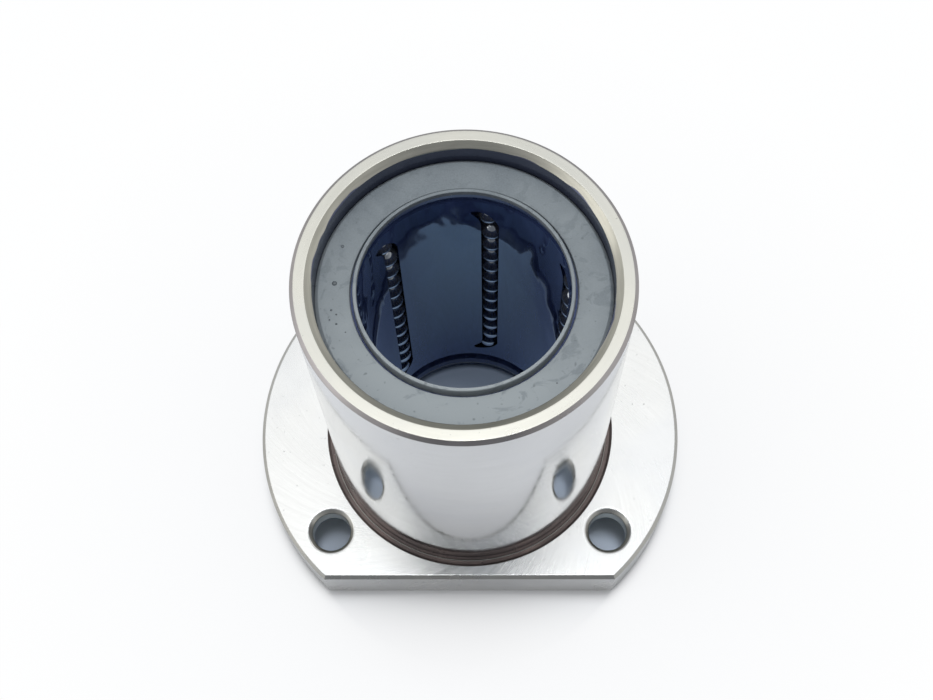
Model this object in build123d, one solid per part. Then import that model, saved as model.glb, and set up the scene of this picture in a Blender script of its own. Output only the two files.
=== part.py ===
from build123d import *
from math import acos, cos, hypot, pi, radians, sin
import os

# Linear ball bushing for a 25 mm shaft, with a flange that is cut flat on two sides.
# Millimetres, +Z up. The bushing stands on its flange: the origin is the centre of the flange's
# back face, +Z runs along the shaft, and the two flats face +Y and -Y.
# Trains of balls run round closed circuits in a moulded cage. On its loaded side a train rolls
# between the shaft and the race in the hardened sleeve. A turn at each end lifts it off the shaft
# and leads it back through a relief groove beside the race. A lip seal closes each end.

# Main sizes
shaft_dia = 25.0
ball_dia = 3.175
length = 59.0
circuits = 6
seal_seat_step = 1.775
sleeve_wall = 2.55
flange_width = 11.0
flat_width = 3.0
flange_thick = 8.0

# Bolt holes, placed from the flange's round ends and from its flats
bolt_end_inset = 11.0
bolt_flat_inset = 7.0
bolt_hole_dia = 5.5
bolt_head_dia = 9.0
bolt_floor = 2.9
hole_chamfer = 0.55

# Edges of the sleeve, and the ground relief at the root of the flange
flange_chamfer = 0.5
back_chamfer = 0.4
rim_chamfer = 0.45
rim_bevel_width = 0.83
rim_bevel_depth = 0.6
root_face_width = 1.2
root_face_depth = 0.4
root_face_slope = 0.5
root_neck_height = 2.3
root_neck_depth = 0.25
root_neck_slope = 0.6
root_radius = 0.4

# Bore of the sleeve
race_clear = 0.01
race_lead = 0.3
relief_clear = 0.13
turn_wall_clear = 0.12
snap_inset = 4.35
snap_groove_depth = 0.2
snap_groove_floor = 0.6

# Seal rings
seal_recess = 3.0
seal_thick = 2.3
seal_fit_clear = 0.02
seal_bevel = 0.43
snap_bead_height = 0.12
snap_bead_floor = 0.5
lip_width = 0.42
lip_rise = 0.75
lip_land = 0.5
lip_lean = 0.16
slot_width = 0.46
slot_depth = 0.85
slot_draft = 0.07
seal_back_gap = 0.75
seal_back_height = 0.75

# Cage
cage_bore_gap = 0.4
cage_race_gap = 0.225
cage_end_clear = 0.1
cage_end_wall = 1.0
cage_chamfer = 0.3
channel_clear = 0.11
turn_clear = 0.16

# Ball trains
ball_gap = 0.02
turn_balls = 3
return_lift = 1.2
turn_tilt = 7.5
first_row_angle = 76.2

# Radii, from the shaft outwards
ball_r = ball_dia / 2
shaft_r = shaft_dia / 2
load_r = shaft_r + ball_r
return_r = load_r + return_lift
race_r = shaft_r + ball_dia + race_clear
seal_seat_r = shaft_r + ball_dia + seal_seat_step
outer_r = seal_seat_r + sleeve_wall
flange_r = outer_r + flange_width
flat_y = outer_r + flat_width
cage_in_r = shaft_r + cage_bore_gap
cage_out_r = race_r - cage_race_gap
channel_r = ball_r + channel_clear
turn_channel_r = ball_r + turn_clear

# Heights. Both ends of the bushing are alike, so a depth counts from either end.
ball_pitch = ball_dia + ball_gap
turn_step = pi / turn_balls
turn_r = ball_pitch / 2 / sin(turn_step / 2)
seal_back = seal_recess + seal_thick
cage_end = seal_back + cage_end_clear
turn_depth = cage_end + cage_end_wall + turn_channel_r + turn_r
straight_length = length - 2 * turn_depth
row_balls = int(straight_length / ball_pitch)

# One circuit in its own frame: the loaded row stands on +X, the return row ahead of it about Z
return_angle = acos((load_r**2 + return_r**2 - 4 * turn_r**2) / (2 * load_r * return_r))
loaded_row = Vector(load_r, 0, 0)
return_row = Vector(return_r * cos(return_angle), return_r * sin(return_angle), 0)
across = (return_row - loaded_row).normalized()
outward = across.cross(Vector(0, 0, 1))
tilt = radians(turn_tilt)


def turn_centre(side):
    """Centre of the upper turn where side is 1, and of the lower one where it is -1."""
    height = length - turn_depth if side > 0 else turn_depth
    return (loaded_row + return_row) * 0.5 + Vector(0, 0, height)


def turn_bulge(side):
    """The way a turn bulges: along the shaft, and leaning outwards to lift the balls off it."""
    return Vector(0, 0, side * cos(tilt)) + outward * sin(tilt)


def turn_point(side, angle):
    """A ball's centre once it has gone through this angle of a turn, from the loaded row on."""
    along = turn_bulge(side) * sin(angle) - across * cos(angle)
    return turn_centre(side) + along * turn_r


turn_angles = [(index + 0.5) * turn_step for index in range(turn_balls)]
turn_limits = [index * turn_step / 2 for index in range(2 * turn_balls + 1)]
turn_points = [turn_point(1, angle) for angle in turn_limits]
turn_wall_r = max(hypot(point.X, point.Y) for point in turn_points) + ball_r + turn_wall_clear


def turned(points):
    """A solid of revolution about Z, from an outline of (radius, height) points."""
    outline = Polyline(*[(radius, 0, height) for radius, height in points], close=True)
    return revolve(make_face(outline), Axis.Z)


def in_place(circuit, shape):
    """A shape of one circuit, turned to that circuit's place round the bore."""
    return Rot(0, 0, first_row_angle + circuit * 360 / circuits) * shape


def sleeve_blank():
    """The sleeve's tube: outside, rim and the stepped bore, the same from both ends."""
    groove_half = snap_groove_floor / 2
    groove_top_r = seal_seat_r + snap_groove_depth
    race_start = turn_depth + race_lead
    end_steps = [
        (seal_seat_r + rim_bevel_width, 0),
        (seal_seat_r, rim_bevel_depth),
        (seal_seat_r, snap_inset - groove_half - snap_groove_depth),
        (groove_top_r, snap_inset - groove_half),
        (groove_top_r, snap_inset + groove_half),
        (seal_seat_r, snap_inset + groove_half + snap_groove_depth),
        (seal_seat_r, seal_back),
        (turn_wall_r, seal_back),
        (turn_wall_r, race_start - (turn_wall_r - race_r)),
        (race_r, race_start),
    ]
    other_end = [(radius, length - depth) for radius, depth in reversed(end_steps)]
    outside = [
        (outer_r - rim_chamfer, length),
        (outer_r, length - rim_chamfer),
        (outer_r, 0),
    ]
    return turned(end_steps + other_end + outside)


def flange():
    """The round flange with its two flats, its edges broken, and room for the sleeve's bore."""
    outline = Circle(flange_r) & Rectangle(2 * flange_r, 2 * flat_y)
    plate = extrude(outline, flange_thick)
    plate = chamfer(plate.faces().sort_by(Axis.Z)[-1].edges(), flange_chamfer)
    plate = chamfer(plate.faces().sort_by(Axis.Z)[0].edges(), back_chamfer)
    return plate - Cylinder(outer_r - rim_chamfer, 3 * flange_thick)


def root_relief():
    """The relief at the flange's root, cut a little into the seat and into the spigot."""
    neck_r = outer_r - root_neck_depth
    floor_z = flange_thick - root_face_depth
    edge_r = outer_r + root_face_width
    neck_top = flange_thick + root_neck_height
    corner = Vector(neck_r, 0, floor_z)
    outline = Polyline(
        (edge_r, 0, flange_thick),
        (edge_r - root_face_slope, 0, floor_z),
        corner,
        (neck_r, 0, neck_top - root_neck_slope),
        (outer_r, 0, neck_top),
        (edge_r, 0, neck_top),
        close=True,
    )
    section = make_face(outline)
    section = fillet(section.vertices().sort_by_distance(corner)[0], root_radius)
    return revolve(section, Axis.Z)


def bolt_hole():
    """A through hole with its head's counterbore on the back and a chamfer on the seat side."""
    hole_r = bolt_hole_dia / 2
    head_r = bolt_head_dia / 2
    head_top = flange_thick - bolt_floor
    mouth_r = hole_r + hole_chamfer
    return turned([
        (0, -flange_thick),
        (head_r, -flange_thick),
        (head_r, head_top),
        (hole_r, head_top),
        (hole_r, flange_thick - hole_chamfer),
        (mouth_r, flange_thick),
        (mouth_r, 2 * flange_thick),
        (0, 2 * flange_thick),
    ])


def flanged_sleeve():
    """The hardened sleeve, turned in one piece with its flange."""
    sleeve = sleeve_blank() + flange() - root_relief()
    bolt_x = flange_r - bolt_end_inset
    bolt_y = flat_y - bolt_flat_inset
    for x in (-bolt_x, bolt_x):
        for y in (-bolt_y, bolt_y):
            sleeve -= Pos(x, y, 0) * bolt_hole()
    groove = Cylinder(ball_r + relief_clear, length - 2 * seal_back)
    groove = Pos(return_row.X, return_row.Y, length / 2) * groove
    for circuit in range(circuits):
        sleeve -= in_place(circuit, groove)
    return sleeve


def channel_section(radius):
    """A ball channel's section: a round floor, with straight walls that open outwards."""
    return Circle(radius) + Pos(0, ball_dia / 2) * Rectangle(2 * radius, ball_dia)


def row_channel(row):
    """The straight channel of one row, run a little past the turns so that no rib is left."""
    overlap = turn_channel_r * sin(tilt)
    top = row + Vector(0, 0, length - turn_depth + overlap)
    plane = Plane(origin=top, x_dir=across, z_dir=(0, 0, -1))
    return extrude(plane * channel_section(channel_r), straight_length + 2 * overlap)


def turn_channel(side):
    """The half-round channel of one turn."""
    axis_dir = turn_bulge(side).cross(across)
    normal = axis_dir * -side
    start = turn_point(side, 0)
    plane = Plane(origin=start, x_dir=across, z_dir=across.cross(normal))
    section = plane * channel_section(turn_channel_r)
    return revolve(section, Axis(turn_centre(side), axis_dir), 180)


def ball_cage():
    """The moulded cage, with one closed channel for each circuit."""
    cage_top = length - cage_end
    cage = turned([
        (cage_in_r, cage_end),
        (cage_out_r - cage_chamfer, cage_end),
        (cage_out_r, cage_end + cage_chamfer),
        (cage_out_r, cage_top - cage_chamfer),
        (cage_out_r - cage_chamfer, cage_top),
        (cage_in_r, cage_top),
    ])
    channels = [row_channel(loaded_row), row_channel(return_row), turn_channel(1), turn_channel(-1)]
    for circuit in range(circuits):
        for channel in channels:
            cage -= in_place(circuit, channel)
    return cage


def upper_seal():
    """The seal ring: a disc that snaps into the sleeve, and a lip that wipes the shaft."""
    back = length - seal_back
    face = back + seal_thick
    rim_r = seal_seat_r - seal_fit_clear
    bead_r = rim_r + snap_bead_height
    bead_mid = length - snap_inset
    bead_half = snap_bead_floor / 2
    lip_r = shaft_r + lip_width
    lip_top = face + lip_rise - lip_width / 2
    lip_crest = (shaft_r + lip_width / 2, 0, face + lip_rise)
    slot_floor = face - slot_depth
    back_r = shaft_r + seal_back_gap
    lip_back = [
        (shaft_r, lip_top),
        (shaft_r, lip_top - lip_land),
        (shaft_r + lip_lean, slot_floor),
        (back_r, back + seal_back_height),
        (back_r, back),
    ]
    rim = [
        (rim_r, back),
        (rim_r, bead_mid - bead_half - snap_bead_height),
        (bead_r, bead_mid - bead_half),
        (bead_r, bead_mid + bead_half),
        (rim_r, bead_mid + bead_half + snap_bead_height),
        (rim_r, face - seal_bevel),
        (rim_r - seal_bevel, face),
    ]
    slot = [
        (lip_r + slot_width, face),
        (lip_r + slot_width - slot_draft, slot_floor),
        (lip_r + slot_draft, slot_floor),
        (lip_r, lip_top),
    ]
    points = [(radius, 0, height) for radius, height in lip_back + rim + slot]
    outline = Polyline(*points) + ThreePointArc(points[-1], lip_crest, points[0])
    return revolve(make_face(outline), Axis.Z)


def ball_group(circuit, centres):
    """Balls of one size at these places in a circuit, each a solid of its own."""
    balls = [Pos(*centre) * Sphere(ball_r) for centre in centres]
    return in_place(circuit, Compound(balls))


def row_centres(row):
    """Where the balls of a straight row stand, centred between the turns with a little slack."""
    first = row + Vector(0, 0, (length - (row_balls - 1) * ball_pitch) / 2)
    return [first + Vector(0, 0, index * ball_pitch) for index in range(row_balls)]


def turn_centres(side):
    """Where the balls of a turn stand, half a step clear of both rows."""
    return [turn_point(side, angle) for angle in turn_angles]


parts = {
    "flanged_sleeve": flanged_sleeve(),
    "ball_cage": ball_cage(),
    "upper_seal": upper_seal(),
}
parts["lower_seal"] = mirror(parts["upper_seal"], Plane.XY.offset(length / 2))
for circuit in range(circuits):
    name = f"circuit_{circuit + 1}"
    parts[f"{name}_loaded_row"] = ball_group(circuit, row_centres(loaded_row))
    parts[f"{name}_return_row"] = ball_group(circuit, row_centres(return_row))
    parts[f"{name}_upper_turn"] = ball_group(circuit, turn_centres(1))
    parts[f"{name}_lower_turn"] = ball_group(circuit, turn_centres(-1))

os.makedirs("parts", exist_ok=True)
for name, shape in parts.items():
    export_step(shape, f"parts/{name}.step")
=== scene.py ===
from math import asin, atan2, ceil, cos, e, pi, radians, sin, sqrt, tan

import bmesh
import bpy
from bpy.props import FloatProperty, FloatVectorProperty, PointerProperty
from bpy.types import Operator, Panel, PropertyGroup
from mathutils import Matrix, Vector


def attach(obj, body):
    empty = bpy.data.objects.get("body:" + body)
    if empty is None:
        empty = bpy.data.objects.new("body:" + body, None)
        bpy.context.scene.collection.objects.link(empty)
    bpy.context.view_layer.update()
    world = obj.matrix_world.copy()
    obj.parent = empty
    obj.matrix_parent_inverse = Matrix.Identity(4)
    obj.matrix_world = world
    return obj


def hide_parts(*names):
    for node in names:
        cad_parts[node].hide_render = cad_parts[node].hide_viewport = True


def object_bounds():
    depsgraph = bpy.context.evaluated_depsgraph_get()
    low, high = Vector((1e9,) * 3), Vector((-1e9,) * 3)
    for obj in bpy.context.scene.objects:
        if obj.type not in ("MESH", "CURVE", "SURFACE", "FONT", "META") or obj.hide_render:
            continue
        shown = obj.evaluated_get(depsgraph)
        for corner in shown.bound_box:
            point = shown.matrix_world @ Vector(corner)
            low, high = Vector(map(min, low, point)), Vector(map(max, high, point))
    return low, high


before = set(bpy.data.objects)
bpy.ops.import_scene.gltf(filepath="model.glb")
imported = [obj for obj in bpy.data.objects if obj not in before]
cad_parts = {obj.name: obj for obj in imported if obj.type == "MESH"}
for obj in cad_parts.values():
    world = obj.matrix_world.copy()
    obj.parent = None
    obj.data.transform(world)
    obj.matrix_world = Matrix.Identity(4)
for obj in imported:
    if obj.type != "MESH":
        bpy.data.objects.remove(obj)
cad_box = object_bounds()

# Looks of a linear ball bushing with a two-flat flange. Metres, +Z up along the shaft, and the
# flange stands on the floor. The balls and the cage keep their meshes and get finishes. The steel
# sleeve and the two seals are built again here with softened edges and a finish for each surface.

bl_info = {
    "name": "Linear Ball Bushing Looks",
    "version": (1, 0, 0),
    "blender": (4, 5, 0),
    "location": "3D Viewport > Sidebar > Bushing",
    "description": "Builds the sleeve, seals, cage, balls and stage of a linear ball bushing",
    "category": "Object",
}

MM = 0.001
CIRCUITS = 6
# In degrees: the first loaded row, and from a loaded row to its return row
FIRST_ROW = 76.2
RETURN_TURN = 24.695
# The first relief groove clears the first return row
RELIEF_ANGLE = radians(FIRST_ROW + RETURN_TURN)
# A rounded corner gets a point for each step, and a sharper fold than this stays sharp in shading
ARC_STEP = radians(16)
SHARP_ANGLE = radians(28)
# A flat face starts this far from a rounded edge
EDGE_LEAD = 0.15 * MM


def size(name, millimetres, note):
    """A length that a user may change, given in millimetres."""
    return FloatProperty(
        name=name,
        description=note,
        default=millimetres * MM,
        min=0.0,
        precision=5,
        subtype="DISTANCE",
        unit="LENGTH",
    )


def colour(name, value, note):
    """A linear colour that a user may change."""
    return FloatVectorProperty(
        name=name,
        description=note,
        default=value,
        min=0.0,
        max=1.0,
        size=3,
        subtype="COLOR",
    )


class BushingSizes(PropertyGroup):
    """Sizes of the pieces that are built here."""

    length: size("Length", cad_box[1][2] / MM, "Height of the sleeve along the shaft")
    flange_radius: size("Flange radius", cad_box[1][0] / MM, "Radius of the flange's round ends")
    flat_distance: size("Flat distance", cad_box[1][1] / MM, "From the axis to a flat")
    flange_thickness: size("Flange thickness", 8.0, "Thickness of the flange")
    flange_chamfer: size("Flange chamfer", 0.5, "Chamfer of the flange on its seat side")
    back_chamfer: size("Back chamfer", 0.4, "Chamfer of the flange on its back")
    spigot_radius: size("Spigot radius", 20.0, "Outside radius of the ground tube")
    rim_chamfer: size("Rim chamfer", 0.45, "Chamfer outside the rim")
    rim_bevel_width: size("Rim bevel width", 0.83, "Width of the bevel inside the rim")
    rim_bevel_depth: size("Rim bevel depth", 0.6, "Depth of the bevel inside the rim")
    seat_radius: size("Seal seat radius", 17.45, "Radius of the bore that holds a seal")
    seal_recess: size("Seal recess", 3.0, "From an end of the sleeve to the seal's face")
    seal_back: size("Seal back", 5.3, "From an end of the sleeve to the ledge behind the seal")
    snap_inset: size("Snap inset", 4.35, "From an end of the sleeve to the snap groove's middle")
    turn_wall_radius: size("Turn wall radius", 17.0277, "Radius of the bore round the ball turns")
    race_start: size("Race start", 11.6425, "From an end of the sleeve to the start of the race")
    race_radius: size("Race radius", 15.685, "Radius of the ground race")
    return_radius: size("Return radius", 15.2875, "From the axis to the middle of a return row")
    relief_radius: size("Relief radius", 1.7175, "Radius of a relief groove beside the race")
    bolt_x: size("Bolt place along the flange", 20.0, "From the axis to a bolt hole, along X")
    bolt_y: size("Bolt place across the flange", 16.0, "From the axis to a bolt hole, along Y")
    bolt_radius: size("Bolt hole radius", 2.75, "Radius of a bolt hole")
    bolt_floor: size("Bolt floor", 2.9, "Steel left under a bolt's head")
    head_radius: size("Counterbore radius", 4.5, "Radius of a bolt head's counterbore")
    hole_chamfer: size("Hole chamfer", 0.55, "Chamfer of a bolt hole on the seat side")
    shaft_radius: size("Shaft radius", 12.5, "Radius that the seals' lips wipe")
    lip_width: size("Lip width", 0.42, "Width of a seal's lip at its crest")
    lip_rise: size("Lip rise", 0.75, "Height of the lip above the seal's face")
    edge_softness: size("Edge softness", 0.07, "Radius on the edges of the steel")


class BushingFinishes(PropertyGroup):
    """Colours of the finishes."""

    ground_steel: colour("Ground steel", (0.695, 0.70, 0.705), "The mirror-ground tube")
    seat_steel: colour("Seat steel", (0.91, 0.91, 0.89), "The flange's cup-ground face")
    rim_steel: colour("Rim steel", (0.875, 0.86, 0.775), "The ground rim of the sleeve")
    turned_steel: colour("Turned steel", (0.54, 0.525, 0.45), "Chamfers and bores left as turned")
    chamfer_steel: colour("Chamfer steel", (0.47, 0.44, 0.43), "Chamfer outside the rim")
    edge_steel: colour("Edge steel", (0.54, 0.53, 0.49), "Chamfers round the flange")
    scale_brown: colour("Brown scale", (0.150, 0.124, 0.118), "Heat scale left in the root relief")
    oil_film: colour("Oil film", (0.050, 0.060, 0.108), "Old oil in the seal's recess")
    rubber: colour("Rubber", (0.167, 0.192, 0.209), "The moulded seals")
    resin: colour("Resin", (0.027, 0.041, 0.105), "The moulded ball cage")
    ball_steel: colour("Ball steel", (0.36, 0.385, 0.42), "The polished balls")
    floor: colour("Floor", (0.76, 0.762, 0.77), "The floor that the bushing stands on")


def connect(tree, made, inputs):
    """Sets or links a node's own inputs."""
    for key, value in inputs.items():
        if isinstance(value, bpy.types.NodeSocket):
            tree.links.new(value, made.inputs[key])
        else:
            made.inputs[key].default_value = value


def add_node(tree, kind, inputs=None, **settings):
    """Adds a shader node, with its settings, and sets or links each input that is given."""
    made = tree.nodes.new(kind)
    for key, value in settings.items():
        setattr(made, key, value)
    connect(tree, made, inputs or {})
    return made


def rgba(value, factor=1.0):
    """A colour times a factor, with full alpha."""
    return (*[factor * part for part in value], 1.0)


def math_node(tree, operation, first, second=0.0):
    """The result of a sum on one or two numbers."""
    made = add_node(tree, "ShaderNodeMath", {0: first, 1: second}, operation=operation)
    return made.outputs[0]


def scaled_number(tree, value, factor):
    """A number times a fixed factor."""
    return math_node(tree, "MULTIPLY", value, factor)


def scaled(tree, vector, factors):
    """A vector with each of its parts scaled."""
    made = add_node(tree, "ShaderNodeVectorMath", {0: vector, 1: factors}, operation="MULTIPLY")
    return made.outputs[0]


def noise(tree, vector, scale, detail=3.0, roughness=0.55, distortion=0.0):
    """A smooth random pattern from 0 to 1."""
    made = add_node(tree, "ShaderNodeTexNoise", {
        "Vector": vector,
        "Scale": scale,
        "Detail": detail,
        "Roughness": roughness,
        "Distortion": distortion,
    })
    return made.outputs["Fac"]


def spread(tree, value, low, high, start=0.3, end=0.7):
    """A pattern's middle range, from start to end, spread over low to high."""
    made = add_node(tree, "ShaderNodeMapRange", {
        "Value": value,
        "From Min": start,
        "From Max": end,
        "To Min": low,
        "To Max": high,
    })
    return made.outputs["Result"]


def mixed(tree, factor, first, second):
    """A colour between two colours."""
    made = add_node(tree, "ShaderNodeMix", {0: factor, 6: first, 7: second}, data_type="RGBA")
    return made.outputs[2]


def bumped(tree, height, distance, strength=1.0, under=None):
    """A normal for a height pattern whose full range is this distance."""
    inputs = {"Height": height, "Distance": distance, "Strength": strength}
    if under is not None:
        inputs["Normal"] = under
    return add_node(tree, "ShaderNodeBump", inputs).outputs["Normal"]


def start_material(name):
    """A new material, its node tree, its shader and the place of each point on the piece."""
    material = bpy.data.materials.new(name)
    material.use_nodes = True
    tree = material.node_tree
    shader = tree.nodes["Principled BSDF"]
    place = add_node(tree, "ShaderNodeTexCoord").outputs["Object"]
    return material, tree, shader, place


def round_lines(tree, place, fineness):
    """A place drawn out along circles round the axis, so that a pattern on it makes fine lines."""
    parts = add_node(tree, "ShaderNodeSeparateXYZ", {0: place})
    flat = add_node(tree, "ShaderNodeCombineXYZ", {0: parts.outputs[0], 1: parts.outputs[1]})
    length = add_node(tree, "ShaderNodeVectorMath", {0: flat.outputs[0]}, operation="LENGTH")
    rise = math_node(tree, "MULTIPLY", parts.outputs[2], 0.73)
    along = math_node(tree, "ADD", length.outputs["Value"], rise)
    across = math_node(tree, "MULTIPLY", along, fineness)
    made = add_node(tree, "ShaderNodeCombineXYZ", {
        0: parts.outputs[0],
        1: parts.outputs[1],
        2: across,
    })
    return made.outputs[0]


def swirl_lines(tree, place):
    """A place drawn out along a cup wheel's spiral strokes, and the way across the strokes."""
    lean = radians(52)
    reference = 0.027
    closeness = 30.0
    parts = add_node(tree, "ShaderNodeSeparateXYZ", {0: place})
    level = {0: parts.outputs[0], 1: parts.outputs[1]}
    flat = add_node(tree, "ShaderNodeCombineXYZ", level).outputs[0]
    reach = add_node(tree, "ShaderNodeVectorMath", {0: flat}, operation="LENGTH").outputs["Value"]
    grown = math_node(tree, "LOGARITHM", math_node(tree, "DIVIDE", reach, reference), e)
    turn = math_node(tree, "MULTIPLY", grown, tan(lean))
    unit = add_node(tree, "ShaderNodeVectorMath", {0: flat}, operation="NORMALIZE").outputs[0]
    spun = add_node(tree, "ShaderNodeVectorRotate", {"Vector": unit, "Angle": turn},
                    rotation_type="Z_AXIS").outputs[0]
    wide = scaled(tree, spun, [reference * closeness] * 3)
    along = add_node(tree, "ShaderNodeCombineXYZ", {2: scaled_number(tree, reach, 2.0)}).outputs[0]
    drawn = add_node(tree, "ShaderNodeVectorMath", {0: wide, 1: along}, operation="ADD").outputs[0]
    across = add_node(tree, "ShaderNodeVectorRotate", {"Vector": unit, "Angle": pi / 2 - lean},
                      rotation_type="Z_AXIS").outputs[0]
    return drawn, across


def ground_steel(name, tint, dark, rough, fineness, depth, anisotropy):
    """Steel with ground or turned lines, faint smears of oil and small marks of handling.

    dark is the share of the tint that the darkest lines keep, rough is the lowest and highest
    roughness, and depth is how deep the lines are. A fineness of 0 means the strokes of a cup
    wheel, and any other value means lines round the axis.
    """
    material, tree, shader, place = start_material(name)
    if fineness:
        drawn = round_lines(tree, place, fineness)
        across = add_node(tree, "ShaderNodeTangent", direction_type="RADIAL", axis="Z").outputs[0]
    else:
        drawn, across = swirl_lines(tree, place)
    fine = noise(tree, drawn, 160.0, 4.0, 0.65)
    broad = noise(tree, drawn, 34.0, 2.0, 0.5)
    smear = noise(tree, place, 95.0, 4.0, 0.6, 0.6)
    speck = noise(tree, place, 1900.0, 2.0, 0.5)
    touch = noise(tree, place, 52.0, 3.0, 0.55, 0.8)
    lines = math_node(tree, "MULTIPLY_ADD", fine, 0.6)
    tree.links.new(scaled_number(tree, broad, 0.4), lines.node.inputs[2])
    shade = spread(tree, lines, 0.0, 1.0, 0.36, 0.64)
    toned = mixed(tree, shade, rgba(tint, dark), rgba(tint))
    marked = mixed(tree, spread(tree, speck, 0.0, 0.5, 0.70, 0.78), toned, rgba(tint, 0.3))
    handled = mixed(tree, spread(tree, touch, 0.0, 0.6, 0.48, 0.66), marked,
                    rgba((0.90 * tint[0], 0.91 * tint[1], 0.94 * tint[2])))
    smeared = spread(tree, smear, rough[0], rough[1], 0.35, 0.65)
    lined = spread(tree, lines, -0.04, 0.04, 0.36, 0.64)
    waviness = bumped(tree, noise(tree, place, 110.0, 2.0), 12e-6, 0.6)
    connect(tree, shader, {
        "Base Color": handled,
        "Metallic": 1.0,
        "Roughness": math_node(tree, "ADD", smeared, lined),
        "Anisotropic": anisotropy,
        "Anisotropic Rotation": 0.25 if fineness else 0.0,
        "Tangent": across,
        "Normal": bumped(tree, lines, depth, 1.0, waviness),
    })
    return material


def oiled_recess(name, finishes):
    """The bevel inside the rim, khaki where it is dry and navy where old oil has crept up."""
    material, tree, shader, place = start_material(name)
    drawn = round_lines(tree, place, 9.0)
    lines = noise(tree, drawn, 190.0, 4.0, 0.6)
    steel = mixed(tree, spread(tree, lines, 0.0, 1.0), rgba(finishes.turned_steel),
                  rgba(finishes.turned_steel, 0.76))
    parts = add_node(tree, "ShaderNodeSeparateXYZ", {0: place})
    height = parts.outputs[2]
    half = bpy.context.scene.bushing_sizes.length / 2
    depth = math_node(tree, "ABSOLUTE", math_node(tree, "SUBTRACT", height, half))
    wander = noise(tree, scaled(tree, place, (1.0, 1.0, 0.0)), 70.0, 3.0, 0.55)
    creep = spread(tree, wander, -0.08 * MM, 0.36 * MM, 0.46, 0.68)
    film_top = math_node(tree, "ADD", creep, half - 0.68 * MM)
    gap = math_node(tree, "SUBTRACT", film_top, depth)
    film = spread(tree, gap, 0.0, 1.0, -0.03 * MM, 0.05 * MM)
    connect(tree, shader, {
        "Base Color": mixed(tree, film, steel, rgba(finishes.oil_film)),
        "Metallic": spread(tree, film, 1.0, 0.55, 0.0, 1.0),
        "Roughness": spread(tree, film, 0.34, 0.16, 0.0, 1.0),
        "Coat Weight": 0.35,
        "Coat Roughness": 0.12,
        "Normal": bumped(tree, math_node(tree, "ADD", lines, film), 9e-6),
    })
    return material


def brown_scale(name, finishes):
    """Dark heat scale in the relief that the grinding wheel never touched."""
    material, tree, shader, place = start_material(name)
    drawn = round_lines(tree, place, 8.0)
    lines = noise(tree, drawn, 150.0, 3.0, 0.6)
    cloud = noise(tree, place, 210.0, 4.0, 0.6)
    grain = noise(tree, place, 2600.0, 2.0, 0.5)
    tint = finishes.scale_brown
    warm = mixed(tree, spread(tree, cloud, 0.0, 1.0), rgba(tint),
                 rgba((tint[0] * 1.5, tint[1] * 1.4, tint[2] * 1.35)))
    connect(tree, shader, {
        "Base Color": mixed(tree, spread(tree, lines, 0.0, 0.6), warm, rgba(tint, 0.55)),
        "Metallic": 0.9,
        "Roughness": spread(tree, grain, 0.26, 0.40),
        "Normal": bumped(tree, math_node(tree, "ADD", lines, grain), 9e-6),
    })
    return material


def moulded_rubber(name, finishes):
    """Matt nitrile rubber with a pale bloom, mould texture, specks of dust and painted light.

    It is paler in front than behind, which is chosen to suit the photograph's light.
    """
    painted_light_reach = 16 * MM
    material, tree, shader, place = start_material(name)
    tint = finishes.rubber
    bloom = noise(tree, place, 130.0, 5.0, 0.62, 0.4)
    grain = noise(tree, place, 5200.0, 3.0, 0.6)
    dust = noise(tree, place, 1300.0, 1.0, 0.5)
    stain = noise(tree, place, 330.0, 4.0, 0.6, 1.4)
    parts = add_node(tree, "ShaderNodeSeparateXYZ", {0: place})
    # Painted light: the rubber is paler to the front and darker to the rear, as the light falls on
    # the seal.
    front = spread(tree, parts.outputs[1], 0.86, -0.20, -painted_light_reach, painted_light_reach)
    pale = math_node(tree, "ADD", spread(tree, bloom, 0.0, 0.5), front)
    base = mixed(tree, pale, rgba(tint, 0.80),
                 rgba((1.58 * tint[0], 1.50 * tint[1], 1.41 * tint[2])))
    stained = mixed(tree, spread(tree, stain, 0.0, 0.55, 0.55, 0.62), base, rgba(tint, 0.72))
    spotted = mixed(tree, spread(tree, dust, 0.0, 0.6, 0.72, 0.78), stained, rgba(tint, 0.45))
    connect(tree, shader, {
        "Base Color": mixed(tree, spread(tree, grain, 0.0, 0.30), spotted, rgba(tint, 1.5)),
        "Roughness": spread(tree, bloom, 0.46, 0.6),
        "Specular IOR Level": 0.5,
        "Sheen Weight": 0.08,
        "Sheen Roughness": 0.5,
        "Normal": bumped(tree, grain, 14e-6, 1.0, bumped(tree, bloom, 40e-6, 0.6)),
    })
    return material


def wet_rubber(name, tint):
    """The inside of the lip and the droplets on the face, dark and shiny with oil; inside the lip
    and on the groove's floor the dark is also painted shade.
    """
    material, tree, shader, place = start_material(name)
    runs = noise(tree, scaled(tree, place, (1.0, 1.0, 0.4)), 420.0, 3.0, 0.55, 0.3)
    connect(tree, shader, {
        "Base Color": mixed(tree, spread(tree, runs, 0.0, 1.0), rgba(tint), rgba(tint, 1.5)),
        "Roughness": spread(tree, runs, 0.20, 0.34),
        "Coat Weight": 0.25,
        "Coat Roughness": 0.15,
        "Normal": bumped(tree, runs, 14e-6, 0.6),
    })
    return material


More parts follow.
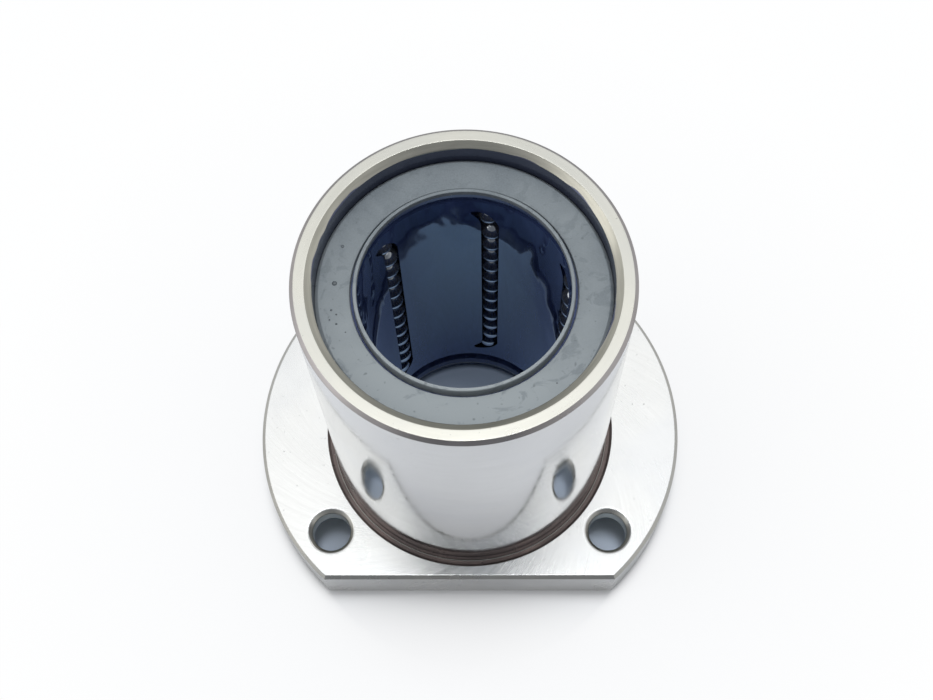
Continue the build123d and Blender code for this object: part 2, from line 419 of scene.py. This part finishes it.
def oiled_resin(name, finishes):
    """Black glossy resin, wet with oil that has run along it in streaks.

    The blue of its reflections is chosen to suit the photograph.
    """
    blue_gleam = (0.2, 0.6, 1.0, 1.0)
    material, tree, shader, place = start_material(name)
    tint = finishes.resin
    streaks = noise(tree, scaled(tree, place, (1.0, 1.0, 0.22)), 330.0, 4.0, 0.6, 0.5)
    pools = noise(tree, scaled(tree, place, (1.0, 1.0, 0.6)), 145.0, 1.5, 0.4, 0.6)
    grain = noise(tree, place, 4200.0, 2.0, 0.5)
    pooled = bumped(tree, pools, 0.26 * MM)
    connect(tree, shader, {
        "Base Color": mixed(tree, spread(tree, streaks, 0.0, 1.0), rgba(tint), rgba(tint, 1.9)),
        "Roughness": spread(tree, streaks, 0.02, 0.05, 0.38, 0.62),
        "IOR": 1.6,
        "Specular Tint": blue_gleam,
        "Coat Weight": 0.15,
        "Coat Roughness": 0.02,
        "Coat IOR": 1.5,
        "Normal": bumped(tree, grain, 1e-6, 0.5, pooled),
        "Coat Normal": pooled,
    })
    return material


def polished_balls(name, finishes):
    """Bearing balls: mirror polished, with a film of oil and the haze of running."""
    material, tree, shader, place = start_material(name)
    tint = finishes.ball_steel
    haze = noise(tree, place, 700.0, 3.0, 0.6)
    scuff = noise(tree, place, 5200.0, 3.0, 0.65)
    connect(tree, shader, {
        "Base Color": mixed(tree, spread(tree, haze, 0.0, 1.0), rgba(tint), rgba(tint, 0.78)),
        "Metallic": 0.85,
        "Roughness": spread(tree, haze, 0.03, 0.07),
        "Coat Weight": 0.3,
        "Coat Roughness": 0.03,
        "Normal": bumped(tree, scuff, 5e-6, 0.6),
    })
    return material


def soft_outline(corners, closed=False):
    """Rounds an outline's corners, given as (across, up, radius, zone), and adds its rows."""
    most_of_run = 0.42
    points = []
    count = len(corners)
    for index, (across, up, radius, zone) in enumerate(corners):
        here = Vector((across, up))
        if radius == 0.0 or (not closed and index in (0, count - 1)):
            points.append((here, zone))
            continue
        back = Vector(corners[index - 1][:2]) - here
        ahead = Vector(corners[(index + 1) % count][:2]) - here
        half = back.angle(ahead) / 2
        reach = min(radius / tan(half), most_of_run * back.length, most_of_run * ahead.length)
        middle = here + (back.normalized() + ahead.normalized()).normalized() * (reach / cos(half))
        first = here + back.normalized() * reach - middle
        last = here + ahead.normalized() * reach - middle
        turn = atan2(first.x * last.y - first.y * last.x, first.dot(last))
        steps = max(2, ceil(abs(turn) / ARC_STEP))
        before = corners[index - 1][3]
        for step in range(steps + 1):
            angle = turn * step / steps
            spun = Vector((first.x * cos(angle) - first.y * sin(angle),
                           first.x * sin(angle) + first.y * cos(angle)))
            points.append((middle + spun, before if step < steps / 2 else zone))
    return with_rows(points, closed)


def with_rows(points, closed):
    """Adds a row near each end of a long run, so that smooth shading stays flat between them."""
    margin = 0.12 * MM
    result = []
    for index, (here, zone) in enumerate(points):
        result.append((here, zone))
        if index == len(points) - 1 and not closed:
            break
        run = points[(index + 1) % len(points)][0] - here
        if run.length > 4 * margin:
            step = run.normalized() * margin
            result.append((here + step, zone))
            result.append((here + run - step, zone))
    return result


def ring_of(mesh, places):
    """A loop of new points."""
    return [mesh.verts.new(place) for place in places]


def join_rings(mesh, lower, upper, slot):
    """A smooth band of faces between two loops of as many points."""
    for index in range(len(lower)):
        around = (lower[index - 1], lower[index], upper[index], upper[index - 1])
        face = mesh.faces.new(around)
        face.smooth = True
        face.material_index = slot


def join_rows(mesh, rows, slots):
    """Bands of faces between rows, each with the finish of its lower row's zone."""
    for (lower, zone), (upper, _) in zip(rows, rows[1:]):
        join_rings(mesh, lower, upper, slots[zone])


def fill_flat(mesh, rings, slot):
    """A flat face with holes, between loops that lie in one plane."""
    edges = [mesh.edges.get((ring[index - 1], ring[index]))
             for ring in rings for index in range(len(ring))]
    made = bmesh.ops.triangle_fill(mesh, edges=edges, use_beauty=True, use_dissolve=False)
    for face in made["geom"]:
        if isinstance(face, bmesh.types.BMFace):
            face.material_index = slot
            face.smooth = False


def finish_piece(mesh, name, materials, body, replaced):
    """Turns a built mesh into a piece that rides on its body, in place of the CAD nodes."""
    bmesh.ops.recalc_face_normals(mesh, faces=mesh.faces)
    for edge in mesh.edges:
        if len(edge.link_faces) == 2 and edge.calc_face_angle() > SHARP_ANGLE:
            edge.smooth = False
    data = bpy.data.meshes.new(name)
    mesh.to_mesh(data)
    mesh.free()
    for material in materials:
        data.materials.append(material)
    piece = bpy.data.objects.new(name, data)
    bpy.context.scene.collection.objects.link(piece)
    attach(piece, body)
    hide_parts(*replaced)


def circle_places(radius, height, angles, centre=(0.0, 0.0)):
    """Points round a circle."""
    return [
        (centre[0] + radius * cos(angle), centre[1] + radius * sin(angle), height)
        for angle in angles
    ]


def even_angles(count):
    """Angles evenly round a circle."""
    return [2 * pi * index / count for index in range(count)]


def flange_places(sizes, inset, height):
    """Points round the flange's outline, moved inwards by the inset."""
    arc_steps = 84
    flat_steps = 24
    radius = sizes.flange_radius - inset
    flat = sizes.flat_distance - inset
    corner = asin(flat / radius)
    places = []
    for side in (0.0, pi):
        for index in range(arc_steps):
            angle = side - corner + 2 * corner * index / arc_steps
            places.append((radius * cos(angle), radius * sin(angle), height))
        edge = radius * cos(corner)
        for index in range(flat_steps):
            along = edge * (1 - 2 * index / flat_steps)
            turned = 1 if side == 0.0 else -1
            places.append((along * turned, flat * turned, height))
    return places


def relief_reach(sizes, angle):
    """How far the relief groove at this angle reaches from the axis, or 0 between the grooves."""
    away = (angle - RELIEF_ANGLE + pi / CIRCUITS) % (2 * pi / CIRCUITS) - pi / CIRCUITS
    aside = sizes.return_radius * sin(away)
    if abs(aside) >= sizes.relief_radius:
        return 0.0
    return sizes.return_radius * cos(away) + sqrt(sizes.relief_radius**2 - aside**2)


def sleeve_angles(sizes):
    """Angles round the sleeve, closer together across each relief groove."""
    half = asin(sizes.relief_radius / sizes.return_radius)
    across = [-0.96, -0.85, -0.7, -0.5, -0.25, 0.0, 0.25, 0.5, 0.7, 0.85, 0.96]
    plain_steps = 38
    angles = []
    for circuit in range(CIRCUITS):
        start = RELIEF_ANGLE + circuit * 2 * pi / CIRCUITS
        angles += [start + half * part for part in across]
        plain = 2 * pi / CIRCUITS - 2 * half
        angles += [start + half + plain * index / plain_steps for index in range(plain_steps + 1)]
    return angles


def bore_corners(sizes, soft):
    """One end of the bore, from the rim inwards, as (radius, depth, softness, zone)."""
    rim_softness = 0.12 * MM
    groove = 0.3 * MM
    ramp = 0.2 * MM
    seat = sizes.seat_radius
    snap = sizes.snap_inset
    wall = sizes.turn_wall_radius
    drop = wall - sizes.race_radius
    cone_steps = 6
    corners = [
        (seat + sizes.rim_bevel_width, 0.0, rim_softness, "recess"),
        (seat, sizes.rim_bevel_depth, soft, "recess"),
        (seat, snap - groove - ramp, soft, "bore"),
        (seat + ramp, snap - groove, soft, "bore"),
        (seat + ramp, snap + groove, soft, "bore"),
        (seat, snap + groove + ramp, soft, "bore"),
        (seat, sizes.seal_back, soft, "bore"),
        (wall, sizes.seal_back, soft, "bore"),
        (wall, sizes.race_start - drop, 0.0, "race"),
    ]
    for index in range(1, cone_steps + 1):
        part = index / cone_steps
        corners.append((wall - drop * part, sizes.race_start - drop * (1 - part), 0.0, "race"))
    return corners


def sleeve_corners(sizes):
    """The sleeve's outline from the flange's seat over the rim and down the bore to the back."""
    soft = sizes.edge_softness
    thick = sizes.flange_thickness
    outer = sizes.spigot_radius
    length = sizes.length
    neck = outer - 0.25 * MM
    root = outer + 1.2 * MM
    floor = thick - 0.4 * MM
    ridge_top = floor + 0.05 * MM
    trough = floor - 0.08 * MM
    outside = [
        (root + EDGE_LEAD, thick, 0.0, "seat"),
        (root, thick, soft, "root"),
        (root - 0.35 * MM, floor, 0.10 * MM, "root"),
        (root - 0.84 * MM, floor, 0.03 * MM, "ridge"),
        (root - 0.88 * MM, ridge_top, 0.02 * MM, "ridge"),
        (root - 0.95 * MM, ridge_top, 0.02 * MM, "root"),
        (root - 1.04 * MM, trough, 0.04 * MM, "root"),
        (neck, trough, 0.2 * MM, "neck"),
        (neck, thick + 1.7 * MM, soft, "neck"),
        (outer, thick + 2.3 * MM, soft, "spigot"),
        (outer, length - sizes.rim_chamfer, soft, "chamfer"),
        (outer - sizes.rim_chamfer, length, soft, "rim"),
    ]
    bore = bore_corners(sizes, soft)
    top = [(radius, length - depth, round_off, zone) for radius, depth, round_off, zone in bore]
    # A zone names the run after its corner, so the mirrored end takes each name from the next one
    bottom = []
    for index in range(len(bore) - 1, -1, -1):
        radius, depth, round_off, _ = bore[index]
        bottom.append((radius, depth, round_off, bore[index - 1][3] if index else "back"))
    back_lead = (bore[0][0] + EDGE_LEAD, 0.0, 0.0, "back")
    return outside + top + bottom + [back_lead]


class BUSHING_OT_sleeve(Operator):
    """Build the ground steel sleeve with its flange, bolt holes, recesses and race"""

    bl_idname = "bushing.sleeve"
    bl_label = "Sleeve"

    def execute(self, context):
        sizes = context.scene.bushing_sizes
        finishes = context.scene.bushing_finishes
        ground = finishes.ground_steel
        seat = finishes.seat_steel
        rim = finishes.rim_steel
        chamfer = finishes.chamfer_steel
        edged = finishes.edge_steel
        turned = finishes.turned_steel
        # One steel, whose tints differ by finish and are chosen to suit the photograph
        # The flange's sides take a darker tint than the seat: painted shade for the shadowed floor
        # close by that they mirror.
        side_painted_shade = (0.58 * seat[0], 0.58 * seat[1], 0.585 * seat[2])
        ridge = [0.7 * part for part in edged]
        # Name, tint, share left in the darkest lines, roughness, fineness, depth, anisotropy
        zones = {
            "spigot": ground_steel("spigot_ground", ground, 0.91, (0.07, 0.13), 14.0, 2.4e-6, 0.3),
            "neck": ground_steel("neck_ground", ground, 0.88, (0.14, 0.22), 11.0, 1e-6, 0.35),
            "seat": ground_steel("seat_cup_ground", seat, 0.90, (0.20, 0.28), 0.0, 5.5e-6, 0.15),
            "rim": ground_steel("rim_ground", rim, 0.90, (0.26, 0.34), 9.0, 3e-6, 0.3),
            "chamfer": ground_steel("chamfer_turned", chamfer, 0.76, (0.25, 0.36), 9.0, 4e-6, 0.3),
            "edge": ground_steel("edge_turned", edged, 0.80, (0.25, 0.36), 8.0, 4e-6, 0.3),
            "side": ground_steel("side_ground_painted_shade", side_painted_shade, 0.85, (0.25, 0.36), 6.0, 3e-6, 0.3),
            "ridge": ground_steel("ridge_turned", ridge, 0.80, (0.30, 0.40), 8.0, 3e-6, 0.3),
            "recess": oiled_recess("recess_oiled", finishes),
            "root": brown_scale("root_brown_scale", finishes),
            "bore": ground_steel("bore_turned", turned, 0.75, (0.22, 0.32), 9.0, 4e-6, 0.3),
            "race": ground_steel("race_ground", ground, 0.90, (0.12, 0.2), 10.0, 1e-6, 0.3),
            "hole": ground_steel("hole_drilled", turned, 0.75, (0.24, 0.36), 6.0, 4e-6, 0.0),
            "back": ground_steel("back_ground", seat, 0.86, (0.22, 0.30), 0.0, 5e-6, 0.5),
        }
        slots = {zone: index for index, zone in enumerate(zones)}
        mesh = bmesh.new()
        angles = sleeve_angles(sizes)
        reaches = [relief_reach(sizes, angle) for angle in angles]
        rings = []
        for (radius, height), zone in soft_outline(sleeve_corners(sizes)):
            in_race = radius < sizes.turn_wall_radius + 1e-6
            places = []
            for angle, reach in zip(angles, reaches):
                out = max(radius, reach) if in_race else radius
                places.append((out * cos(angle), out * sin(angle), height))
            rings.append((ring_of(mesh, places), zone))
        join_rows(mesh, rings, slots)
        seat_rings = [rings[0][0]]
        back_rings = [rings[-1][0]]

        soft = sizes.edge_softness
        thick = sizes.flange_thickness
        edge = [
            (sizes.flange_chamfer + EDGE_LEAD, thick, 0.0, "seat"),
            (sizes.flange_chamfer, thick, soft, "edge"),
            (0.0, thick - sizes.flange_chamfer, soft, "side"),
            (0.0, sizes.back_chamfer, soft, "edge"),
            (sizes.back_chamfer, 0.0, soft, "back"),
            (sizes.back_chamfer + EDGE_LEAD, 0.0, 0.0, "back"),
        ]
        rows = [(ring_of(mesh, flange_places(sizes, inset, height)), zone)
                for (inset, height), zone in soft_outline(edge)]
        join_rows(mesh, rows, slots)
        seat_rings.append(rows[0][0])
        back_rings.append(rows[-1][0])

        head_top = thick - sizes.bolt_floor
        mouth = sizes.bolt_radius + sizes.hole_chamfer
        mouth_lead = 0.45 * MM
        mouth_softness = 0.35 * MM
        hole = [
            (mouth + mouth_lead, thick, 0.0, "seat"),
            (mouth, thick, mouth_softness, "edge"),
            (sizes.bolt_radius, thick - sizes.hole_chamfer, mouth_softness, "hole"),
            (sizes.bolt_radius, head_top, soft, "hole"),
            (sizes.head_radius, head_top, soft, "hole"),
            (sizes.head_radius, 0.0, soft, "back"),
            (sizes.head_radius + EDGE_LEAD, 0.0, 0.0, "back"),
        ]
        hole_rows = soft_outline(hole)
        hole_angles = even_angles(72)
        for x in (-sizes.bolt_x, sizes.bolt_x):
            for y in (-sizes.bolt_y, sizes.bolt_y):
                rows = [(ring_of(mesh, circle_places(radius, height, hole_angles, (x, y))), zone)
                        for (radius, height), zone in hole_rows]
                join_rows(mesh, rows, slots)
                seat_rings.append(rows[0][0])
                back_rings.append(rows[-1][0])

        fill_flat(mesh, seat_rings, slots["seat"])
        fill_flat(mesh, back_rings, slots["back"])
        finish_piece(mesh, "sleeve_steel", zones.values(), "bushing",
                     ["flanged_sleeve"])
        return {"FINISHED"}


def seal_corners(sizes):
    """A seal's closed outline as (radius, height above its face, softness, zone)."""
    soft = 0.06 * MM
    round_edge = 0.12 * MM
    rim = sizes.seat_radius - 0.02 * MM
    thick = sizes.seal_back - sizes.seal_recess
    bead = sizes.snap_inset - sizes.seal_recess
    bead_half = 0.25 * MM
    bead_rise = 0.12 * MM
    bevel = 0.43 * MM
    shaft = sizes.shaft_radius
    lip = shaft + sizes.lip_width
    slot = 0.42 * MM
    draft = 0.06 * MM
    slot_depth = 0.75 * MM
    crest = sizes.lip_rise
    land = crest - sizes.lip_width / 2 - 0.5 * MM
    lean = 0.16 * MM
    throat = -0.85 * MM
    back_radius = shaft + 0.75 * MM
    back_height = 0.75 * MM - thick
    # The wet zone, on the groove's floor and inside the lip, is oily rubber painted dark: painted
    # shade in the groove and inside the bore.
    return [
        (back_radius, -thick, soft, "seal"),
        (rim, -thick, soft, "seal"),
        (rim, -bead - bead_half - bead_rise, soft, "seal"),
        (rim + bead_rise, -bead - bead_half, soft, "seal"),
        (rim + bead_rise, -bead + bead_half, soft, "seal"),
        (rim, -bead + bead_half + bead_rise, soft, "seal"),
        (rim, -bevel, round_edge, "seal"),
        (rim - bevel, 0.0, round_edge, "seal"),
        (lip + slot, 0.0, round_edge, "seal"),
        (lip + slot - draft, -slot_depth, round_edge, "wet"),
        (lip + draft, -slot_depth, round_edge, "seal"),
        (lip + 0.35 * draft, 0.1 * MM, 0.0, "seal"),
        (lip, crest, 0.13 * MM, "seal"),
        (shaft, crest, 0.10 * MM, "seal"),
        (shaft, land, soft, "wet"),
        (shaft + lean, throat, soft, "wet"),
        (back_radius, back_height, soft, "wet"),
    ]


def oil_drop(mesh, radius, rise, centre, height, side, slot):
    """A small domed drop of oil that stands on a seal's face, sunk a little into it."""
    angles = even_angles(24)
    steps = 6
    sunk = -0.03 * MM
    foot = circle_places(radius * 1.15, height + side * sunk, angles, centre)
    rings = [ring_of(mesh, foot)]
    for index in range(steps):
        part = index / steps * pi / 2
        up = height + side * rise * sin(part)
        rings.append(ring_of(mesh, circle_places(radius * cos(part), up, angles, centre)))
    for lower, upper in zip(rings, rings[1:]):
        join_rings(mesh, lower, upper, slot)
    for ring in (rings[0], rings[-1]):
        end = mesh.faces.new(ring)
        end.smooth = True
        end.material_index = slot


class BUSHING_OT_seals(Operator):
    """Build the two moulded rubber seals with their lips"""

    bl_idname = "bushing.seals"
    bl_label = "Seals"

    def execute(self, context):
        sizes = context.scene.bushing_sizes
        finishes = context.scene.bushing_finishes
        drop_tint = [0.42 * part for part in finishes.rubber]
        rubbers = [
            moulded_rubber("seal_nitrile", finishes),
            # The wet rubber takes the cage's dark resin tint: oily, and painted shade as well.
            wet_rubber("seal_nitrile_wet_shaded", finishes.resin),
            wet_rubber("oil_droplet", drop_tint),
        ]
        dry_slot, wet_shaded_slot, drop_slot = range(len(rubbers))
        angles = even_angles(300)
        outline = soft_outline(seal_corners(sizes), closed=True)
        # Each drop: place from the axis in mm, its angle in degrees, its radius and rise in mm
        drops = [
            (15.13, 176.8, 0.30, 0.17),
            (15.42, 158.4, 0.20, 0.11),
            (15.55, 189.5, 0.14, 0.08),
            (15.05, 192.0, 0.11, 0.06),
            (15.95, 193.8, 0.10, 0.06),
            (15.30, 196.4, 0.13, 0.07),
            (14.60, 201.5, 0.09, 0.05),
            (15.70, 312.0, 0.10, 0.06),
        ]
        for name, side in (("upper_seal", 1), ("lower_seal", -1)):
            face = sizes.length - sizes.seal_recess if side > 0 else sizes.seal_recess
            mesh = bmesh.new()
            rings = [ring_of(mesh, circle_places(radius, face + side * height, angles))
                     for (radius, height), _ in outline]
            for index in range(len(rings)):
                wet = outline[index - 1][1] == "wet"
                join_rings(mesh, rings[index - 1], rings[index], wet_shaded_slot if wet else dry_slot)
            for reach, turn, radius, rise in drops:
                angle = radians(turn)
                centre = (reach * MM * cos(angle), reach * MM * sin(angle))
                oil_drop(mesh, radius * MM, rise * MM, centre, face, side, drop_slot)
            finish_piece(mesh, f"{name}_rubber", rubbers, "bushing", [name])
        return {"FINISHED"}


def dress(names, material):
    """Gives CAD nodes their finish, in place of the plain one that they came with."""
    for name in names:
        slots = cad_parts[name].material_slots
        if not slots:
            raise RuntimeError(f"{name} has no material slot")
        for slot in slots:
            slot.material = material


class BUSHING_OT_cage(Operator):
    """Give the moulded ball cage its oiled resin finish"""

    bl_idname = "bushing.cage"
    bl_label = "Ball cage"

    def execute(self, context):
        dress(["ball_cage"], oiled_resin("cage_oiled_resin", context.scene.bushing_finishes))
        return {"FINISHED"}


class BUSHING_OT_balls(Operator):
    """Give every row and turn of balls its polished finish"""

    bl_idname = "bushing.balls"
    bl_label = "Balls"

    def execute(self, context):
        names = [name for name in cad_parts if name.startswith("circuit_")]
        dress(names, polished_balls("ball_polished", context.scene.bushing_finishes))
        return {"FINISHED"}


def room_tone(tree, way):
    """The room round the table: darkest to the front, brightest to both sides."""
    front = (0.25, 0.26, 0.28, 1.0)
    rear = (0.48, 0.49, 0.50, 1.0)
    sides = (0.74, 0.75, 0.76, 1.0)
    parts = add_node(tree, "ShaderNodeSeparateXYZ", {0: way})
    rearward = spread(tree, parts.outputs[1], 0.0, 1.0, -0.5, 0.5)
    along = mixed(tree, rearward, front, rear)
    sideways = math_node(tree, "MULTIPLY", parts.outputs[0], parts.outputs[0])
    return mixed(tree, spread(tree, sideways, 0.0, 1.0, 0.12, 0.80), along, sides)


def footprint_distance(tree, across, reach, sizes):
    """How far a point of the floor lies outside the flange, counted in fades of the shadow.

    The fade in front is longer than the others, and the count is below 0 under the flange.
    """
    front_fade = 2.9 * MM
    other_fade = 0.7 * MM
    towards = scaled_number(tree, across, -1.0)
    front = math_node(tree, "SUBTRACT", towards, sizes.flat_distance)
    back = math_node(tree, "SUBTRACT", across, sizes.flat_distance)
    ends = math_node(tree, "SUBTRACT", reach, sizes.flange_radius)
    other = math_node(tree, "DIVIDE", math_node(tree, "MAXIMUM", back, ends), other_fade)
    return math_node(tree, "MAXIMUM", math_node(tree, "DIVIDE", front, front_fade), other)


def floor_material(finishes, sizes):
    """A pale floor that reads white in the picture and still takes the bushing's shadow.

    It glows for the camera and, in part, in what mirrors it, and never lights a matt surface.
    Its glow fades near the flange, furthest in front, as painted shadow over the lamps' own.
    Under the flange it is painted blue shade, and in the bore painted light that is brighter to
    the front; further out, mirrors see a painted reflection of a room.
    The blue under the flange and in the bore, and the room that takes the floor's place in
    mirrors further out, are chosen to suit the photograph.
    """
    white = (0.995, 0.998, 1.0, 1.0)
    # Painted shade under the bushing: blue under the flange and in the holes, and in the bore
    # lighter to the front, darker to the rear.
    hole_painted_shade = (0.58, 0.74, 1.0, 1.0)
    bore_painted_light = (0.40, 0.55, 0.75, 1.0)
    bore_painted_shade = (0.10, 0.14, 0.25, 1.0)
    bore_edge = 0.7 * MM
    material = bpy.data.materials.new("floor_pale")
    material.use_nodes = True
    tree = material.node_tree
    tree.nodes.clear()
    place = add_node(tree, "ShaderNodeTexCoord").outputs["Object"]
    across = add_node(tree, "ShaderNodeSeparateXYZ", {0: place}).outputs[1]
    reach = add_node(tree, "ShaderNodeVectorMath", {0: place}, operation="LENGTH").outputs["Value"]
    path = add_node(tree, "ShaderNodeLightPath")
    glossy = path.outputs["Is Glossy Ray"]
    seen = math_node(tree, "MAXIMUM", path.outputs["Is Camera Ray"],
                     path.outputs["Is Transmission Ray"])

    outside = footprint_distance(tree, across, reach, sizes)
    beyond = math_node(tree, "MAXIMUM", outside, 0.0)
    under = math_node(tree, "EXPONENT", scaled_number(tree, beyond, -1.0))
    in_bore = spread(tree, reach, 1.0, 0.0, sizes.shaft_radius, sizes.shaft_radius + bore_edge)
    shade = spread(tree, outside, 1.0, 0.0, -1.2, -0.3)

    cloud = noise(tree, place, 9.0, 2.0, 0.5)
    tone = mixed(tree, spread(tree, cloud, 0.0, 1.0), rgba(finishes.floor),
                 rgba(finishes.floor, 0.985))
    red, green, blue = finishes.floor
    # The floor's own colour turns bluer under the flange: painted shade.
    painted_blue_shade = rgba((0.87 * red, 0.975 * green, min(1.0, 1.13 * blue)))
    shaded = mixed(tree, shade, tone, painted_blue_shade)
    plain = add_node(tree, "ShaderNodeBsdfDiffuse", {"Color": shaded}).outputs[0]

    # The glow fades near the flange, longest in front: the lamps' own shadow shows there, and the
    # fade's shape is painted shadow.
    open_share = spread(tree, under, 0.72, 0.0, 0.0, 0.93)
    near_share = math_node(tree, "ADD", open_share, scaled_number(tree, in_bore, 0.08))
    far_share = spread(tree, reach, 0.0, 0.28, 0.038, 0.078)
    direct = math_node(tree, "MULTIPLY", seen, math_node(tree, "ADD", near_share, far_share))
    # Mirrors see the floor under the bore and the holes glowing: painted light for the cage and
    # balls to mirror.
    mirror_share = math_node(tree, "MAXIMUM", scaled_number(tree, in_bore, 0.95),
                             scaled_number(tree, under, 0.11))
    mirrored = math_node(tree, "MULTIPLY", glossy, mirror_share)
    share = math_node(tree, "MAXIMUM", direct, mirrored)
    # In the bore the glow is lighter to the front and darker to the rear: painted light from
    # behind.
    rearward = spread(tree, across, 0.0, 1.0, -8 * MM, 10 * MM)
    bore_painted_tone = mixed(tree, rearward, bore_painted_light, bore_painted_shade)
    painted_shade_tone = mixed(tree, math_node(tree, "MULTIPLY", in_bore, glossy), hole_painted_shade, bore_painted_tone)
    glow_with_painted_shade = mixed(tree, shade, white, painted_shade_tone)
    glow = add_node(tree, "ShaderNodeEmission", {"Color": glow_with_painted_shade, "Strength": 1.0}).outputs[0]
    near = add_node(tree, "ShaderNodeMixShader", {0: share, 1: plain, 2: glow}).outputs[0]

    # Further out, mirrors see a room glowing in the floor's place: a painted reflection.
    way = add_node(tree, "ShaderNodeVectorMath", {0: place}, operation="NORMALIZE").outputs[0]
    room = add_node(tree, "ShaderNodeEmission", {"Color": room_tone(tree, way)}).outputs[0]
    painted_room_share = math_node(tree, "MULTIPLY", glossy, spread(tree, reach, 0.0, 1.0, 0.032, 0.075))
    both = add_node(tree, "ShaderNodeMixShader", {0: painted_room_share, 1: near, 2: room}).outputs[0]
    add_node(tree, "ShaderNodeOutputMaterial", {"Surface": both})
    return material


def studio_world():
    """Soft light from all round, bright overhead, with a dark screen overhead and to the front."""
    sky_tone = (0.98, 0.99, 1.0, 1.0)
    screen_tone = (0.26, 0.275, 0.29, 1.0)
    screen_way = (0.0, -0.33, 0.94)
    screen_narrowness = (3.8, 2.7, 2.7)
    world = bpy.data.worlds.new("studio_daylight")
    world.use_nodes = True
    tree = world.node_tree
    tree.nodes.clear()
    way = add_node(tree, "ShaderNodeTexCoord").outputs["Generated"]
    parts = add_node(tree, "ShaderNodeSeparateXYZ", {0: way})
    high = spread(tree, parts.outputs[2], 0.0, 1.0, 0.825, 0.905)
    sky = mixed(tree, high, room_tone(tree, way), sky_tone)
    toward = add_node(tree, "ShaderNodeVectorMath", {0: way, 1: screen_way}, operation="SUBTRACT")
    stretched = scaled(tree, toward.outputs[0], screen_narrowness)
    spot = add_node(tree, "ShaderNodeVectorMath", {0: stretched}, operation="LENGTH")
    screen = spread(tree, spot.outputs["Value"], 1.0, 0.0, 0.75, 1.15)
    tone = mixed(tree, screen, sky, screen_tone)
    light = add_node(tree, "ShaderNodeBackground", {"Color": tone, "Strength": 1.15}).outputs[0]
    plain = {"Color": (1.0, 1.0, 1.0, 1.0), "Strength": 1.0}
    white = add_node(tree, "ShaderNodeBackground", plain).outputs[0]
    camera = add_node(tree, "ShaderNodeLightPath").outputs["Is Camera Ray"]
    both = add_node(tree, "ShaderNodeMixShader", {0: camera, 1: light, 2: white}).outputs[0]
    add_node(tree, "ShaderNodeOutputWorld", {"Surface": both})
    return world


def add_lamp(name, place, aim, side, power, tint):
    """A soft square lamp that points at the aim."""
    data = bpy.data.lights.new(name, "AREA")
    data.shape = "SQUARE"
    data.size = side
    data.energy = power
    data.color = tint
    lamp = bpy.data.objects.new(name, data)
    lamp.location = place
    lamp.rotation_euler = (Vector(aim) - Vector(place)).to_track_quat("-Z", "Y").to_euler()
    bpy.context.scene.collection.objects.link(lamp)
    return lamp


def add_camera():
    """The camera at the photograph's place, turn and lens."""
    place = (0.002638, -0.065893, 0.196242)
    dip = radians(67.418)
    turn = radians(-2.2925)
    roll = radians(-2.3061)
    data = bpy.data.cameras.new("photo_camera")
    data.sensor_width = 36.0
    data.lens = 51.465
    data.clip_start = 0.01
    camera = bpy.data.objects.new("photo_camera", data)
    ahead = Vector((sin(turn) * cos(dip), cos(turn) * cos(dip), -sin(dip)))
    level = Vector((cos(turn), -sin(turn), 0.0))
    upright = level.cross(ahead)
    right = level * cos(roll) + upright * sin(roll)
    up = upright * cos(roll) - level * sin(roll)
    axes = Matrix((right, up, -ahead)).transposed()
    camera.matrix_world = Matrix.Translation(place) @ axes.to_4x4()
    bpy.context.scene.collection.objects.link(camera)
    bpy.context.scene.camera = camera


class BUSHING_OT_stage(Operator):
    """Set the camera, the soft lamps, the daylight and the pale floor"""

    bl_idname = "bushing.stage"
    bl_label = "Stage"

    def execute(self, context):
        scene = context.scene
        scene.view_settings.view_transform = "Standard"
        add_camera()
        scene.world = studio_world()
        middle = (0.0, 0.0, 0.03)
        cool = (0.94, 0.97, 1.0)
        warm = (1.0, 0.99, 0.97)
        add_lamp("overhead_softbox", (0.0, 0.03, 1.05), middle, 0.16, 0.5, cool)
        add_lamp("left_softbox", (-0.75, -0.10, 0.45), middle, 0.6, 1.2, warm)
        key = add_lamp("key_softbox", (0.03, 0.165, 1.05), middle, 0.24, 5.5, cool)
        key.visible_glossy = False
        half = 2.0
        low = -0.05 * MM
        mesh = bpy.data.meshes.new("floor")
        corners = [(-half, -half, low), (half, -half, low), (half, half, low), (-half, half, low)]
        mesh.from_pydata(corners, [], [(0, 1, 2, 3)])
        mesh.materials.append(floor_material(scene.bushing_finishes, scene.bushing_sizes))
        floor = bpy.data.objects.new("floor", mesh)
        scene.collection.objects.link(floor)
        return {"FINISHED"}


OPERATORS = (
    BUSHING_OT_stage,
    BUSHING_OT_sleeve,
    BUSHING_OT_seals,
    BUSHING_OT_cage,
    BUSHING_OT_balls,
)


class BUSHING_PT_looks(Panel):
    """Lists the steps that build the bushing's looks"""

    bl_idname = "BUSHING_PT_looks"
    bl_label = "Linear ball bushing"
    bl_space_type = "VIEW_3D"
    bl_region_type = "UI"
    bl_category = "Bushing"

    def draw(self, context):
        column = self.layout.column()
        for operator in OPERATORS:
            column.operator(operator.bl_idname)
        for group in (context.scene.bushing_sizes, context.scene.bushing_finishes):
            for key in group.__annotations__:
                column.prop(group, key)


CLASSES = (BushingSizes, BushingFinishes, *OPERATORS, BUSHING_PT_looks)


def register():
    for kind in CLASSES:
        bpy.utils.register_class(kind)
    bpy.types.Scene.bushing_sizes = PointerProperty(type=BushingSizes)
    bpy.types.Scene.bushing_finishes = PointerProperty(type=BushingFinishes)


def unregister():
    del bpy.types.Scene.bushing_finishes
    del bpy.types.Scene.bushing_sizes
    for kind in reversed(CLASSES):
        bpy.utils.unregister_class(kind)


def main():
    register()
    bpy.ops.bushing.stage()
    bpy.ops.bushing.sleeve()
    bpy.ops.bushing.seals()
    bpy.ops.bushing.cage()
    bpy.ops.bushing.balls()


if __name__ == "__main__":
    main()
